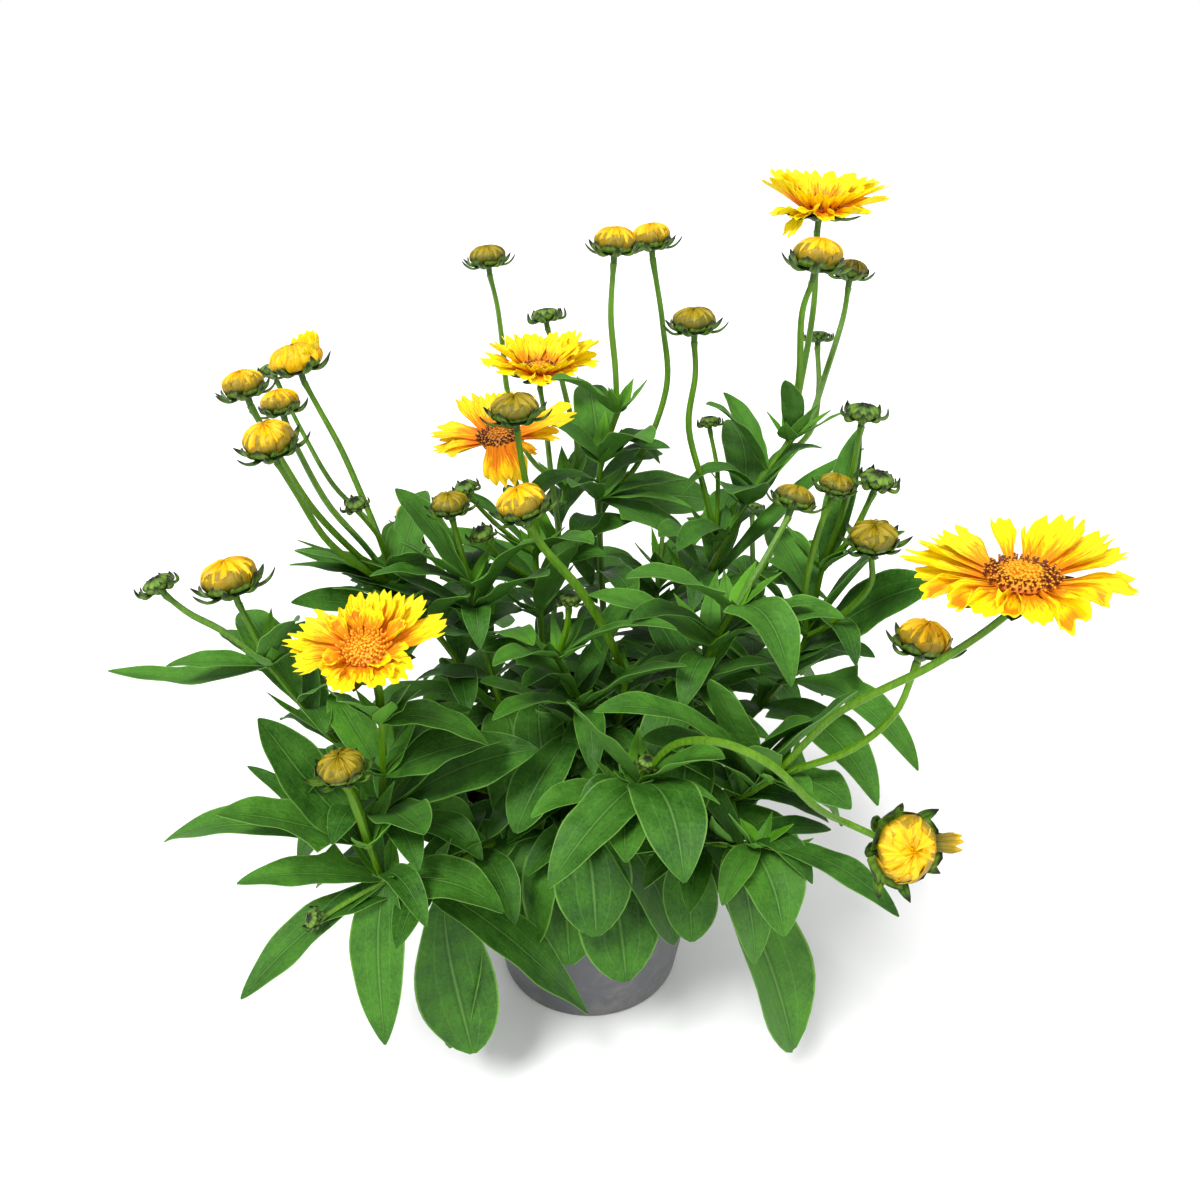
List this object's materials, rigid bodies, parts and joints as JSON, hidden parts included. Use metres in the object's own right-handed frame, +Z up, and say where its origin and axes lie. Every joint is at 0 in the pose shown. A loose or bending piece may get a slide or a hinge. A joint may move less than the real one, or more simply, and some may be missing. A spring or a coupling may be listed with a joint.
{
  "type": "potted coreopsis plant",
  "caption": "Bushy coreopsis plant in a tapered nursery pot: leafy stems with lance-shaped leaves, semi-double yellow blooms and round buds on bare stalks.",
  "frame": {"origin": "middle of the pot's flat base, on the surface that the pot stands on", "axes": "+Z up along the pot's axis; the fullest side of the plant faces -Y, +X to the right of it"},
  "size_m": [0.3491, 0.3152, 0.3897],
  "materials": {
    "pot": "satin dark grey",
    "soil": "matt dark brown",
    "leaf": "soft sheen, mid green",
    "ray": "matt bright yellow",
    "ray_old": "matt orange yellow",
    "disc": "matt orange",
    "bud_yellow": "soft sheen, yellow",
    "bud_olive": "soft sheen, olive"
  },
  "bodies": {
    "root": {"pot": "pot", "soil": "soil", "petals_top": "ray", "disc_top": "disc", "bud_top": "bud_yellow", "bud_top_small": "bud_olive", "bud_right": "bud_olive", "bud_right_small": "bud_olive", "bud_bright": "bud_olive", "petals_right": "ray", "disc_right": "disc", "bud_right_low": "bud_yellow", "bud_opening": "bud_yellow", "bud_centre": "bud_yellow", "bud_slender": "bud_olive", "bud_tall_left": "bud_yellow", "bud_tall_right": "bud_yellow", "bud_back_left": "bud_olive", "petals_middle": "ray", "disc_middle": "disc", "petals_old": "ray_old", "disc_old": "disc", "bud_middle": "bud_olive", "bud_left_inner": "bud_olive", "petals_high": "ray", "bud_high_left": "bud_yellow", "bud_high_middle": "bud_yellow", "bud_high_front": "bud_yellow", "bud_left_long": "bud_yellow", "petals_left": "ray", "disc_left": "disc", "bud_left_low": "bud_olive", "bud_back_right": "bud_olive", "bud_back_centre": "bud_yellow", "bud_back_far": "bud_yellow", "shoot_right_tall": "leaf", "shoot_right_back": "leaf", "shoot_right_bright": "leaf", "shoot_right_low": "leaf", "shoot_front_centre": "leaf", "shoot_front_right": "leaf", "shoot_centre": "leaf", "shoot_centre_thick": "leaf", "shoot_slender": "leaf", "shoot_back_tall": "leaf", "shoot_back_left": "leaf", "shoot_middle": "leaf", "shoot_left_inner": "leaf", "shoot_left_high": "leaf", "shoot_left_long": "leaf", "shoot_left_flower": "leaf", "shoot_left_low": "leaf", "rosette_front": "leaf", "rosette_back": "leaf", "shoot_back_right": "leaf", "shoot_back_centre": "leaf", "shoot_back_far": "leaf"}
  },
  "joints": []
}
